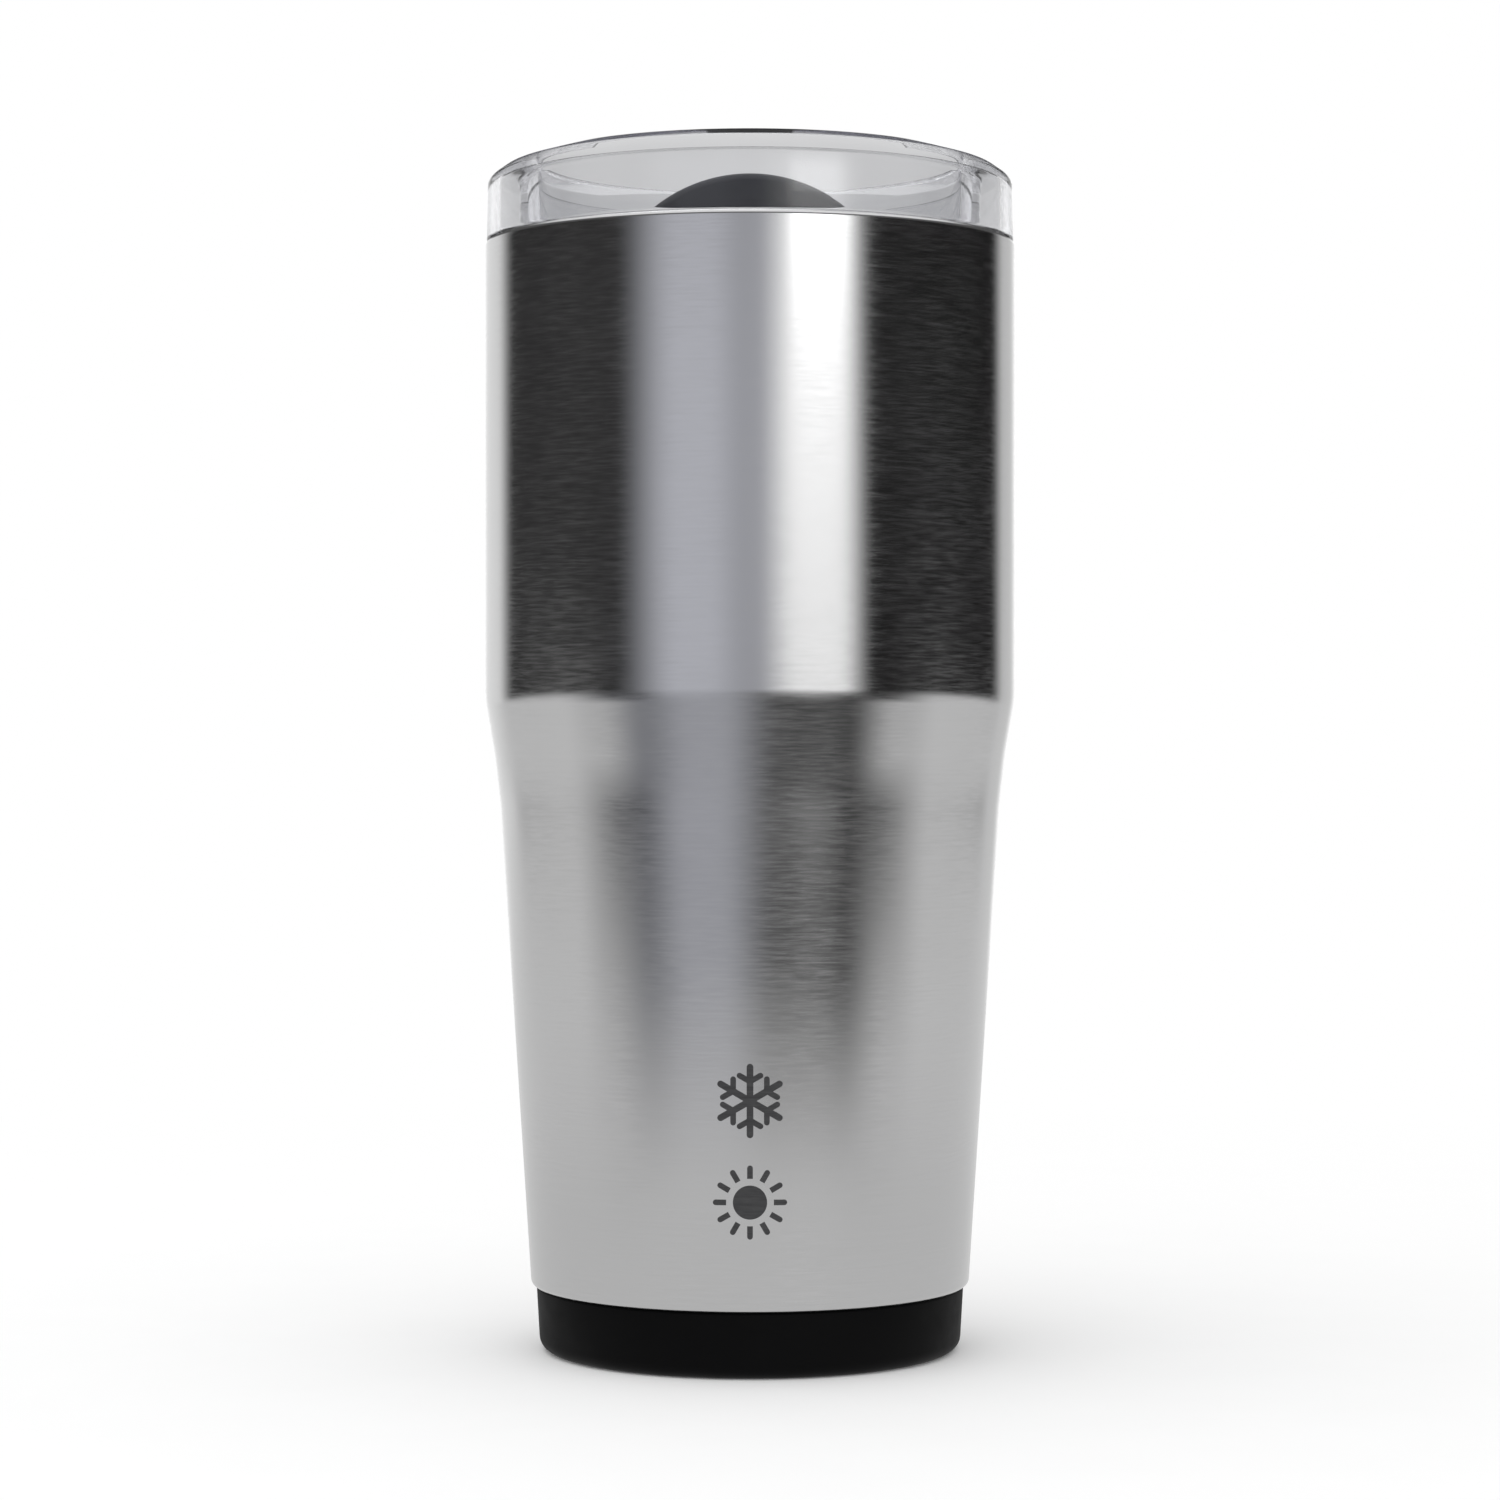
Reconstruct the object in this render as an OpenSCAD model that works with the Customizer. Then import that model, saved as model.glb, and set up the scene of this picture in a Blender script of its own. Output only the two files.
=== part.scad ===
// Vacuum-insulated steel tumbler with a clear press-in lid and a three-position dial.
// Frame: +Z up, origin at the centre of the foot on the table. The drinking side faces -Y.
// Every round piece is spun from an outline of [radius, height, corner radius] points.

/* [Body] */
// Diameter of the straight upper wall
body_d = 96; // [95:0.5:100]
// Height of the steel lip above the table
lip_h = 200.4; // [195:0.2:210]
// Height of the crease where the straight wall ends
crease_h = 117.7; // [112:0.1:124]
// Height of the short steep shoulder under the crease
shoulder_h = 14.8; // [12:0.2:18]
// Slope of that shoulder from the vertical, in degrees
shoulder_slope = 9.5; // [8:0.1:10]
// Slope of the long lower taper from the vertical, in degrees
taper_slope = 3.68; // [3.2:0.02:4]
// Thickness of the whole wall, from the outer face to the drink
wall_t = 4; // [3.6:0.1:4.6]
// Thickness of each steel sheet
sheet_t = 0.5; // [0.4:0.05:0.6]
// Thickness of the rolled lip
lip_t = 0.9; // [0.7:0.1:1]
// Height of the drink's floor above the table
floor_h = 11; // [10.5:0.5:13]

/* [Base] */
// Height of the silicone boot
boot_h = 11.6; // [11:0.1:13]
// Radius of the boot's lower edge
boot_edge_r = 2.6; // [2:0.1:3.6]
// Radius of the steel neck inside the boot
neck_r = 37.4; // [36.8:0.1:37.6]
// Distance of the getter from the centre
getter_x = 20; // [14:1:28]

/* [Lid] */
// Height of the lid's wall above the lip
lid_h = 14.6; // [12:0.2:15]
// Thickness of the lid's outer wall
lid_wall_t = 2.4; // [2:0.1:2.6]
// Depth of the lid's plug below the lip
plug_depth = 18; // [17:0.5:22]
// Gap between the lid's wall and the lip
lid_gap = 0.1; // [0.05:0.05:0.2]
// Clearance between the gasket's fins and the mouth
fin_gap = 0.15; // [0.1:0.05:0.25]

/* [Openings] */
// Inner radius of the curved sip slot
sip_r = 26.8; // [26:0.2:27.4]
// Width of the sip slot
sip_w = 6; // [5:0.2:6.4]
// Arc of the sip slot, in degrees
sip_arc = 34; // [24:1:38]
// Diameter of the straw hole
straw_d = 8.5; // [7:0.5:9.5]
// Distance of the straw hole from the centre
straw_at_r = 27.5; // [26:0.5:28]
// Diameter of the air vent
vent_d = 2.4; // [2:0.2:3]
// Distance of the vent from the centre
vent_at_r = 20; // [18:0.5:20.5]

/* [Dial] */
// Radius of the dial's disc
dial_r = 35; // [34.6:0.1:35.2]
// Turn from closed to sip, and from closed to straw, in degrees
dial_turn = 60; // [50:1:60]
// Radius of the grip's arched top
grip_r = 27.9; // [26:0.1:29]
// Height of the grip's top under the lid's crest
grip_drop = 1.9; // [1:0.1:3]
// Thickness of the grip's top edge
grip_t = 4.6; // [4:0.2:6]
// Radius of the dial's turning post
post_r = 3.95; // [3.9:0.01:3.97]
// Radius of the post's bore in the lid
bore_r = 4; // [4:0.01:4.02]

/* [Hidden] */
$fn = 96;

arc_step = 9;                                    // degrees between the points of a rounded corner
slot_step = 3;                                   // degrees between the points of a curved slot
slack = 1;                                       // how far a cutter passes a face

// Steel wall, from the lip down
body_r = body_d / 2;
rim_z = lip_h - lip_t;                           // where the outer shell meets the rolled lip
shoulder_z = crease_h - shoulder_h;
shoulder_r = body_r - shoulder_h * tan(shoulder_slope);
function taper_r(z) = shoulder_r - (shoulder_z - z) * tan(taper_slope);
crease_bend = 15;                                // bend radii of the two changes of slope
shoulder_bend = 90;
step_z = boot_h + 0.1;                           // underside of the steel above the boot
neck_z = 4.4;                                    // lower end of the neck
base_z = 2.4;                                    // underside of the steel base
base_flange_z = 9;
floor_bend = 5;                                  // bend radius between the drink's floor and its wall
seam_z = floor_h + floor_bend + 0.5;             // weld between the liner's wall and its bottom
mouth_r = body_r - wall_t;                       // bore of the mouth
mouth_z = lip_h - 6.8;                           // where the mouth starts to flare
lip_in_r = mouth_r + 2.3;

// Vacuum port in the middle of the base
port_r = 0.8;
dimple_r = 7.4;
dimple_z = base_z + 1.2;

// Boot
boot_floor_z = base_z - 0.3;                     // the adhesive ring fills the rest
boot_top_r = taper_r(step_z) - 0.93;
boot_foot_r = boot_top_r - 0.66;
tread_z = 0.8;                                   // recess inside the foot ring

// Getter
pellet_r = 4.1;
pellet_h = 3.1;
strap_t = 0.3;

// Lid
lid_z = lip_h + lid_gap;                         // underside of the lid's wall
crest_z = lip_h + lid_h + 0.5;                   // corner of the crest, before it is rounded
lid_r = body_r - 0.22;
lid_top_r = body_r - 0.4;
crest_r = lid_top_r - 9.1;                       // the crown slopes up from the wall to this radius
eave_z = crest_z - 4.1;                          // where the wall goes over into the crown
brow_r = lid_top_r - 2.8;                        // where the crown flattens
brow_z = crest_z - 2;
channel_z = crest_z - 4.3;                       // roof of the channel behind the outer wall
deck_z = lip_h - 0.8;                            // top of the deck
deck_t = 2.2;
recess_r = 37.8;
boss_r = 7;
boss_z = deck_z - 5.2;
skirt_r = 41.8;
skirt_t = 2.2;
plug_z = lip_h - plug_depth;
collar_r = 43.2;                                 // the two collars that hold the gasket
collar_t = 1;
gasket_z = plug_z + 3.2;                         // lower face of the gasket
gasket_h = 6.1;

// Dial
dial_z = deck_z + 0.7;                           // underside of the disc's rim
disc_z = dial_z + 1.8;                           // top of the disc's rim
seal_r = dial_r - 0.8;
seal_z = deck_z + 0.15;
seal_top_z = dial_z + 0.7;
hub_r = 5.5;
grip_z = lip_h + lid_h - grip_drop;              // top of the grip
grip_axis_z = grip_z - grip_r;                   // centre of the grip's arch
o_ring_z = deck_z - 1;
o_ring_t = 1.2;
clip_z = boss_z - 1.55;
clip_t = 0.7;
groove_r = 3;
gland_r = post_r - 1.25;                         // bottom of the groove that holds the o-ring
gland_h = 1.4;
post_end_z = clip_z - 1.15;
stop_w = 3;                                      // width of the two stops beside the dial
lug_w = 4;
stop_at = dial_turn + 6;                         // angle of each stop from the lug

// Directions in the lid, in degrees about +Z
sip_at = 270;
straw_at = 90;
vent_at = 30;
window_grow = 0.4;                               // how much wider the dial's windows are

// ---------------------------------------------------------------------------------------------
// Outlines

function unit(v) = v / norm(v);
function xy(p) = [p[0], p[1]];
function turned(v, a) = [v[0] * cos(a) - v[1] * sin(a), v[0] * sin(a) + v[1] * cos(a)];

// The points of one corner: p is the corner, r its radius, a and b the points before and after it
function corner(a, p, b, r) =
    let (
        to_a = unit(a - p),
        to_b = unit(b - p),
        half = acos(max(-1, min(1, to_a * to_b))) / 2,
        centre = p + unit(to_a + to_b) * r / sin(half),
        start = p + to_a * r / tan(half) - centre,
        sweep = (180 - 2 * half) * sign(cross(to_a, to_b)) * -1,
        n = max(1, ceil(abs(sweep) / arc_step))
    )
    [for (i = [0:n]) centre + turned(start, sweep * i / n)];

// A closed outline of [radius, height, corner radius] points, with its corners rounded
function rounded(outline) =
    let (n = len(outline))
    [
        for (i = [0:n - 1])
            each (
                len(outline[i]) < 3 || outline[i][2] == 0
                    ? [xy(outline[i])]
                    : corner(
                        xy(outline[(i + n - 1) % n]), xy(outline[i]),
                        xy(outline[(i + 1) % n]), outline[i][2]
                    )
            )
    ];

module spun(outline) {
    rotate_extrude() polygon(rounded(outline));
}

// A flat ring or, with no inner radius, a disc
module ring(r, z, h, inner = 0) {
    difference() {
        translate([0, 0, z]) cylinder(r = r, h = h);
        if (inner > 0) translate([0, 0, z - slack]) cylinder(r = inner, h = h + 2 * slack);
    }
}

// ---------------------------------------------------------------------------------------------
// Steel body

// The wall's outline at an inset from the outer face, from top_z down to bottom_z
function wall_side(inset, top_z, bottom_z) = [
    [body_r - inset, top_z],
    [body_r - inset, crease_h, crease_bend],
    [shoulder_r - inset, shoulder_z, shoulder_bend],
    [taper_r(bottom_z) - inset, bottom_z],
];
function reversed(points) = [for (i = [len(points) - 1:-1:0]) points[i]];

module outer_shell() {
    foot_bend = 1.2;
    neck_bend = 0.8;
    inner_z = step_z + sheet_t;
    outside = wall_side(0, rim_z, step_z);
    inside = wall_side(sheet_t, rim_z, inner_z);
    color("silver")
        spun(concat(
            [outside[0], outside[1], outside[2], concat(outside[3], foot_bend)],
            [[neck_r, step_z, neck_bend], [neck_r, neck_z]],
            [[neck_r - sheet_t, neck_z], [neck_r - sheet_t, inner_z, neck_bend + sheet_t]],
            [concat(inside[3], foot_bend - sheet_t), inside[2], inside[1], inside[0]]
        ));
}

module outer_base() {
    edge_r = neck_r - sheet_t;
    color("silver")
        spun([
            [edge_r, base_flange_z],
            [edge_r, base_z, 2],
            [dimple_r, base_z, 0.4],
            [dimple_r - 0.6, dimple_z, 0.4],
            [port_r, dimple_z],
            [port_r, dimple_z + sheet_t],
            [dimple_r - 0.2, dimple_z + sheet_t, 0.4],
            [dimple_r + 0.5, base_z + sheet_t, 0.4],
            [edge_r - sheet_t, base_z + sheet_t, 1.5],
            [edge_r - sheet_t, base_flange_z],
        ]);
}

module inner_liner() {
    drink = wall_side(wall_t, mouth_z, seam_z);
    back = wall_side(wall_t - sheet_t, mouth_z, seam_z);
    flare_bend = 8;
    color("gainsboro")
        spun(concat(
            [[body_r, rim_z], [body_r, lip_h, lip_t], [lip_in_r, lip_h, 0.7], concat(drink[0], flare_bend)],
            [drink[1], drink[2], drink[3]],
            [back[3], back[2], back[1]],
            [concat(back[0], flare_bend), [lip_in_r + 0.3, rim_z]]
        ));
}

module liner_bottom() {
    wall_r = taper_r(seam_z) - wall_t;
    corner_r = taper_r(floor_h) - wall_t;
    crown = 0.6;                                 // the floor rises a little to the centre
    color("gainsboro")
        spun([
            [wall_r, seam_z],
            [corner_r, floor_h, floor_bend],
            [0, floor_h + crown],
            [0, floor_h + crown - sheet_t],
            [corner_r + sheet_t, floor_h - sheet_t, floor_bend + sheet_t],
            [wall_r + sheet_t, seam_z],
        ]);
}

module copper_foil() {
    foil_t = 0.1;
    lift = wall_t - sheet_t - 0.1;               // just off the liner's back
    top_z = mouth_z - 8;
    bottom_z = seam_z + 6;
    color("peru")
        spun(concat(
            wall_side(lift, top_z, bottom_z),
            reversed(wall_side(lift - foil_t, top_z, bottom_z))
        ));
}

module getter_pellet() {
    z = base_z + sheet_t;
    color("dimgray")
        translate([getter_x, 0, 0])
            spun([[0, z], [pellet_r, z], [pellet_r, z + pellet_h, 0.5], [0, z + pellet_h]]);
}

module getter_holder() {
    z = base_z + sheet_t;
    wall = pellet_r + 0.1;
    top = z + pellet_h + 0.1;
    color("silver")
        translate([getter_x, 0, 0])
            spun([
                [wall, z],
                [wall + 2, z],
                [wall + 2, z + strap_t],
                [wall + strap_t, z + strap_t, 0.3],
                [wall + strap_t, top + strap_t, 0.5],
                [wall - 1, top + strap_t],
                [wall - 1, top],
                [wall, top],
            ]);
}

module port_solder() {
    color("darkslategray")
        spun([
            [0, dimple_z - 0.7],
            [2.2, dimple_z - 0.7, 0.5],
            [2.4, dimple_z],
            [port_r, dimple_z],
            [port_r, dimple_z + sheet_t + 0.2, 0.2],
            [0, dimple_z + sheet_t + 0.2],
        ]);
}

module port_cover() {
    color("silver") ring(dimple_r - 0.9, base_z, 0.4);
}

module boot_adhesive() {
    color("lightyellow") ring(31, boot_floor_z, base_z - boot_floor_z, inner = 12);
}

module silicone_boot() {
    foot_in_r = 31;
    tread_w = 1.2;
    color("black") {
        spun([
            [boot_top_r, boot_h, 0.35],
            [boot_foot_r, 0, boot_edge_r],
            [foot_in_r, 0, 0.3],
            [foot_in_r - 0.4, tread_z, 0.3],
            [0, tread_z],
            [0, boot_floor_z],
            [neck_r, boot_floor_z, 1.2],
            [neck_r, boot_h - 1],
            [neck_r + 0.9, boot_h],
        ]);
        for (r = [8:7:22])
            ring(r + tread_w, 0.3, tread_z - 0.2, inner = r);
    }
}

// ---------------------------------------------------------------------------------------------
// Lid

function towards(a) = [cos(a), sin(a)];

// Points on a circle from angle a to angle b
function arc_points(centre, r, a, b) =
    let (n = ceil(abs(b - a) / slot_step))
    [for (i = [0:n]) centre + r * towards(a + (b - a) * i / n)];

// A curved slot with round ends, centred on the direction at. Its outline is one closed run of
// points, because an end cylinder that is tangent to an arc leaves a hairline gap in the solid.
module curved_slot(inner_r, w, arc, at, z, h) {
    first = at - arc / 2;
    last = at + arc / 2;
    mid_r = inner_r + w / 2;
    translate([0, 0, z])
        linear_extrude(h)
            polygon(concat(
                arc_points([0, 0], inner_r + w, first, last - slot_step / 2),
                arc_points(mid_r * towards(last), w / 2, last, last + 180),
                arc_points([0, 0], inner_r, last - slot_step / 2, first + slot_step / 2),
                arc_points(mid_r * towards(first), w / 2, first + 180, first + 360 - slot_step)
            ));
}

module round_hole(d, at_r, at, z, h) {
    rotate([0, 0, at]) translate([at_r, 0, z]) cylinder(d = d, h = h);
}

module lid_solid() {
    collar_top_z = gasket_z + gasket_h;
    spun([
        // outer wall and crown
        [lid_r, lid_z, 0.4],
        [lid_top_r, eave_z, 2.2],
        [brow_r, brow_z, 5],
        [crest_r, crest_z, 0.8],
        // recess and deck
        [recess_r, deck_z, 1.2],
        [bore_r, deck_z],
        [bore_r, boss_z],
        [boss_r, boss_z, 0.4],
        [boss_r, deck_z - deck_t, 1],
        // plug and its two collars
        [skirt_r - skirt_t, deck_z - deck_t, 1.5],
        [skirt_r - skirt_t, plug_z, 0.6],
        [skirt_r, plug_z, 0.6],
        [skirt_r, gasket_z - collar_t],
        [collar_r, gasket_z - collar_t, 0.3],
        [collar_r, gasket_z],
        [skirt_r, gasket_z],
        [skirt_r, collar_top_z],
        [collar_r, collar_top_z],
        [collar_r, collar_top_z + collar_t, 0.3],
        [skirt_r, collar_top_z + collar_t],
        // channel between the inner wall and the outer wall
        [skirt_r, channel_z, 0.7],
        [lid_r - lid_wall_t, channel_z, 0.7],
        [lid_r - lid_wall_t, lid_z],
    ]);
}

module dial_stops() {
    h = disc_z - deck_z + 0.2;
    for (side = [-1, 1])
        rotate([0, 0, side * stop_at])
            translate([dial_r + 1, -stop_w / 2, deck_z - 0.2]) cube([recess_r + 1 - dial_r, stop_w, h]);
}

module lid_body() {
    z = deck_z - deck_t - slack;
    h = deck_t + 2 * slack;
    color("white", 0.4) {
        difference() {
            union() {
                lid_solid();
                dial_stops();
            }
            curved_slot(sip_r, sip_w, sip_arc, sip_at, z, h);
            round_hole(straw_d, straw_at_r, straw_at, z, h);
            round_hole(vent_d, vent_at_r, vent_at, z, h);
        }
    }
}

module lid_gasket() {
    inner_r = skirt_r + 0.05;
    ring_r = inner_r + 1.1;
    fin_r = mouth_r - fin_gap;
    pitch = 2.6;                                 // height from one fin to the next
    fin_z = gasket_z + 0.9;
    color("lightgray")
        spun(concat(
            [[inner_r, gasket_z + 0.1], [ring_r, gasket_z + 0.1]],
            [
                for (i = [0:1])
                    let (z = fin_z + i * pitch)
                        each [
                            [ring_r, z], [fin_r, z + 0.8, 0.2], [fin_r, z + 1.3, 0.2], [ring_r, z + 1.7]
                        ]
            ],
            [[ring_r, gasket_z + gasket_h - 0.1], [inner_r, gasket_z + gasket_h - 0.1]]
        ));
}

// ---------------------------------------------------------------------------------------------
// Dial

// The windows that uncover the sip slot and vent at +dial_turn, and the straw hole at -dial_turn
module dial_windows(z, h) {
    curved_slot(sip_r - window_grow, sip_w + 2 * window_grow, sip_arc, sip_at - dial_turn, z, h);
    round_hole(straw_d + 2 * window_grow, straw_at_r, straw_at + dial_turn, z, h);
    round_hole(vent_d + 2 * window_grow, vent_at_r, vent_at - dial_turn, z, h);
}

// The post, the hub and the disc
module dial_disc() {
    spun([
        [0, post_end_z],
        [post_r, post_end_z, 0.5],
        [post_r, clip_z - 0.05],
        [groove_r, clip_z - 0.05],
        [groove_r, clip_z + clip_t + 0.05],
        [post_r, clip_z + clip_t + 0.05],
        [post_r, o_ring_z - gland_h / 2],
        [gland_r, o_ring_z - gland_h / 2],
        [gland_r, o_ring_z + gland_h / 2],
        [post_r, o_ring_z + gland_h / 2],
        [post_r, deck_z + 0.3],
        [hub_r, deck_z + 0.3],
        [hub_r, seal_top_z],
        [seal_r, seal_top_z],
        [seal_r, dial_z],
        [dial_r, dial_z],
        [dial_r, disc_z, 0.7],
        [0, disc_z + 0.3],
    ]);
}

// The arched grip: a wheel about the Y axis that thickens towards its middle, cut off at the disc
module dial_grip() {
    edge = grip_t / 2;
    cheek = edge + 0.5;
    cheek_r = grip_r - 7.5;                      // below this radius the cheeks flare
    root = 9;                                    // half thickness where the flare ends, inside the disc
    root_r = 12;
    foot_z = disc_z - 0.6;
    intersection() {
        translate([0, 0, grip_axis_z])
            rotate([90, 0, 0])
                spun([
                    [root_r, -root], [cheek_r, -cheek, 9], [grip_r, -edge, 1.6],
                    [grip_r, edge, 1.6], [cheek_r, cheek, 9], [root_r, root],
                ]);
        translate([-dial_r, -dial_r, foot_z]) cube([2 * dial_r, 2 * dial_r, grip_r]);
    }
}

module dial_lug() {
    reach = 2.2;
    root = 0.5;                                  // how far the lug starts inside the disc's edge
    translate([dial_r - root, -lug_w / 2, dial_z])
        cube([reach + root, lug_w, disc_z - dial_z - 0.9]);
}

module dial() {
    color("dimgray")
        difference() {
            union() {
                dial_disc();
                dial_grip();
                dial_lug();
            }
            dial_windows(dial_z - slack, 2 * slack + 3);
        }
}

module dial_seal() {
    color("gray")
        difference() {
            ring(seal_r, seal_z, seal_top_z - seal_z, inner = hub_r);
            dial_windows(seal_z - slack, 2 * slack + 2);
        }
}

module pivot_o_ring() {
    color("black")
        rotate_extrude() translate([gland_r + o_ring_t / 2 + 0.02, o_ring_z]) circle(d = o_ring_t);
}

module thrust_washer() {
    washer_t = 0.6;
    color("ivory") ring(boss_r - 0.2, boss_z - washer_t - 0.1, washer_t, inner = bore_r + 0.05);
}

module retaining_clip() {
    mouth = 4.4;                                 // the open side that snaps over the post
    color("silver")
        difference() {
            ring(6, clip_z, clip_t, inner = groove_r + 0.05);
            translate([0, -mouth / 2, clip_z - slack]) cube([8, mouth, clip_t + 2 * slack]);
        }
}

// ---------------------------------------------------------------------------------------------

outer_shell();
outer_base();
inner_liner();
liner_bottom();
copper_foil();
getter_pellet();
getter_holder();
port_solder();
port_cover();
boot_adhesive();
silicone_boot();
lid_gasket();
lid_body();
dial();
dial_seal();
pivot_o_ring();
thrust_washer();
retaining_clip();
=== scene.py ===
"""The look of a steel tumbler with a clear lid: finishes, fine geometry, studio and camera."""

import math

import bmesh
import bpy
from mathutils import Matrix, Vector


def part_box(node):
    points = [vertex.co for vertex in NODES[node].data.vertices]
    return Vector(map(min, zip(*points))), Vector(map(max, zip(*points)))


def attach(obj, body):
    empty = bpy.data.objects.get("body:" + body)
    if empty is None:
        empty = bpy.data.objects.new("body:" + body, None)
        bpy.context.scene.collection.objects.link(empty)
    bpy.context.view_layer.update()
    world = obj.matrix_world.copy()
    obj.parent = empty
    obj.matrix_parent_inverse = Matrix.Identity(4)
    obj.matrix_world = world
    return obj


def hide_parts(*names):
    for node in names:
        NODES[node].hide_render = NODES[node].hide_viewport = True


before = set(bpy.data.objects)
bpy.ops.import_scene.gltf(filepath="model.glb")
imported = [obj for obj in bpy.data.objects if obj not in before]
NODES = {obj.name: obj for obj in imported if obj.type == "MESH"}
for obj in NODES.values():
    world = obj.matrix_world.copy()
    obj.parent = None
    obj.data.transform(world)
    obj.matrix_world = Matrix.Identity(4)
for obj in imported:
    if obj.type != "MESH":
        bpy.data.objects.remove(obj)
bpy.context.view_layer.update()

# ---------------------------------------------------------------------------------------------
# Sizes, in metres, from the frame

MM = 0.001
WALL_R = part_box("outer_shell")[1].x
RIM_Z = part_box("outer_shell")[1].z
LIP_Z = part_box("inner_liner")[1].z
CREST_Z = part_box("lid_body")[1].z
DECK_Z = LIP_Z - 0.8 * MM                       # top of the lid's deck
DIAL_DISC_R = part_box("dial_seal")[1].x + 0.8 * MM
DISC_Z = DECK_Z + 2.5 * MM                      # top of the dial's disc at its edge

# The lid's openings: inner radius, width and arc of the sip slot, then the two round holes
SIP_INNER_R, SIP_W, SIP_ARC = 26.8 * MM, 6 * MM, math.radians(34)
STRAW_AT_R, STRAW_R = 27.5 * MM, 4.25 * MM
VENT_AT_R, VENT_R = 20 * MM, 1.2 * MM
SIP_AT, STRAW_AT, VENT_AT = (math.radians(a) for a in (270, 90, 30))
CUT_FROM_Z, CUT_TO_Z = DECK_Z - 3.5 * MM, DECK_Z + 1 * MM      # from below the deck to above it

# The two blocks in the lid's recess that stop the dial
STOP_AT, STOP_W, STOP_SUNK = math.radians(66), 3 * MM, 0.2 * MM
STOP_INNER_R, STOP_OUTER_R = DIAL_DISC_R + 1 * MM, DIAL_DISC_R + 4.7 * MM

FRONT = math.radians(-90)                       # direction of the drinking side
SEGMENTS = 256                                  # sides of a spun piece
SMOOTH_ANGLE = math.radians(30)                 # faces that meet at less than this are shaded as one
ON_AXIS = 1e-6                                  # a point nearer the axis than this lies on it
SAME_POINT = 1e-7                               # points nearer to each other than this are one
ON_PLANE = 1e-8                                 # a point nearer a cutting plane than this lies on it
DIGITS = 7                                      # of the coordinates by which outline points are matched
NO_BEND = 1e-4                                  # sine of a bend too small to keep a point for


# ---------------------------------------------------------------------------------------------
# Meshes

def mesh_of(name, bm):
    """A mesh made from a bmesh, which is freed."""
    mesh = bpy.data.meshes.new(name)
    bm.to_mesh(mesh)
    bm.free()
    return mesh


def placed(name, data):
    """A new object in the scene that shows a mesh, a lamp or a camera."""
    made = bpy.data.objects.new(name, data)
    bpy.context.scene.collection.objects.link(made)
    return made


def smooth(piece):
    piece.data.shade_smooth()
    piece.data.set_sharp_from_angle(angle=SMOOTH_ANGLE)


def link(name, bm, material, body, replaced=None):
    """Turns a bmesh into a shown piece that rides on a body."""
    bmesh.ops.recalc_face_normals(bm, faces=bm.faces)
    piece = placed(name, mesh_of(name, bm))
    smooth(piece)
    piece.data.materials.append(material)
    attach(piece, body)
    if replaced:
        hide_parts(replaced)
    return piece


def sliced(bm, at, facing, **options):
    """Splits a bmesh along a plane through a point."""
    everything = bm.verts[:] + bm.edges[:] + bm.faces[:]
    return bmesh.ops.bisect_plane(bm, geom=everything, plane_co=at, plane_no=facing, **options)


def outline(node):
    """The (radius, height) points of a round CAD node, cut along the half-plane y = 0, x > 0."""
    bm = bmesh.new()
    bm.from_mesh(NODES[node].data)
    bmesh.ops.remove_doubles(bm, verts=bm.verts, dist=SAME_POINT)
    sliced(bm, (0, 0, 0), (1, 0, 0), dist=ON_PLANE, clear_inner=True)
    cut = sliced(bm, (0, 0, 0), (0, 1, 0), dist=ON_PLANE)
    near = {}
    for e in cut["geom_cut"]:
        if isinstance(e, bmesh.types.BMEdge):
            a, b = ((round(v.co.x, DIGITS), round(v.co.z, DIGITS)) for v in e.verts)
            if a != b:
                near.setdefault(a, set()).add(b)
                near.setdefault(b, set()).add(a)
    bm.free()
    return chained(near)


def chained(near):
    """Walks points joined to their neighbours into one run. Returns the run and whether it closes."""
    ends = [p for p, others in near.items() if len(others) == 1]
    closed = not ends
    run = [ends[0] if ends else min(near)]
    seen = set(run)
    while True:
        following = [p for p in near[run[-1]] if p not in seen]
        if not following:
            break
        run.append(following[0])
        seen.add(following[0])
    return without_straights(run, closed), closed


def without_straights(run, closed):
    """The run without the points that lie on a straight line between their neighbours."""
    kept = []
    for i, p in enumerate(run):
        if not closed and i in (0, len(run) - 1):
            kept.append(p)
            continue
        before, after = Vector(run[i - 1]), Vector(run[(i + 1) % len(run)])
        ahead, behind = after - Vector(p), Vector(p) - before
        if abs(ahead.x * behind.y - ahead.y * behind.x) > NO_BEND * ahead.length * behind.length:
            kept.append(p)
    return kept


def spun(points, closed):
    """A bmesh of an outline turned about +Z."""
    bm = bmesh.new()
    rings = []
    for r, z in points:
        count = 1 if r < ON_AXIS else SEGMENTS
        turns = [2 * math.pi * k / SEGMENTS for k in range(count)]
        rings.append([bm.verts.new((r * math.cos(t), r * math.sin(t), z)) for t in turns])
    following = rings[1:] + rings[:1] if closed else rings[1:]
    for a, b in zip(rings, following):
        for k in range(SEGMENTS):
            j = (k + 1) % SEGMENTS
            corners = [a[k % len(a)], a[j % len(a)], b[j % len(b)], b[k % len(b)]]
            corners = list(dict.fromkeys(corners))
            if len(corners) > 2:
                bm.faces.new(corners)
    return bm


def respun(name, node, material, body):
    """A round CAD node made again with a finer and smoother surface."""
    return link(name, spun(*outline(node)), material, body, node)


def towards(angle, r=1.0):
    return Vector((r * math.cos(angle), r * math.sin(angle)))


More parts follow.
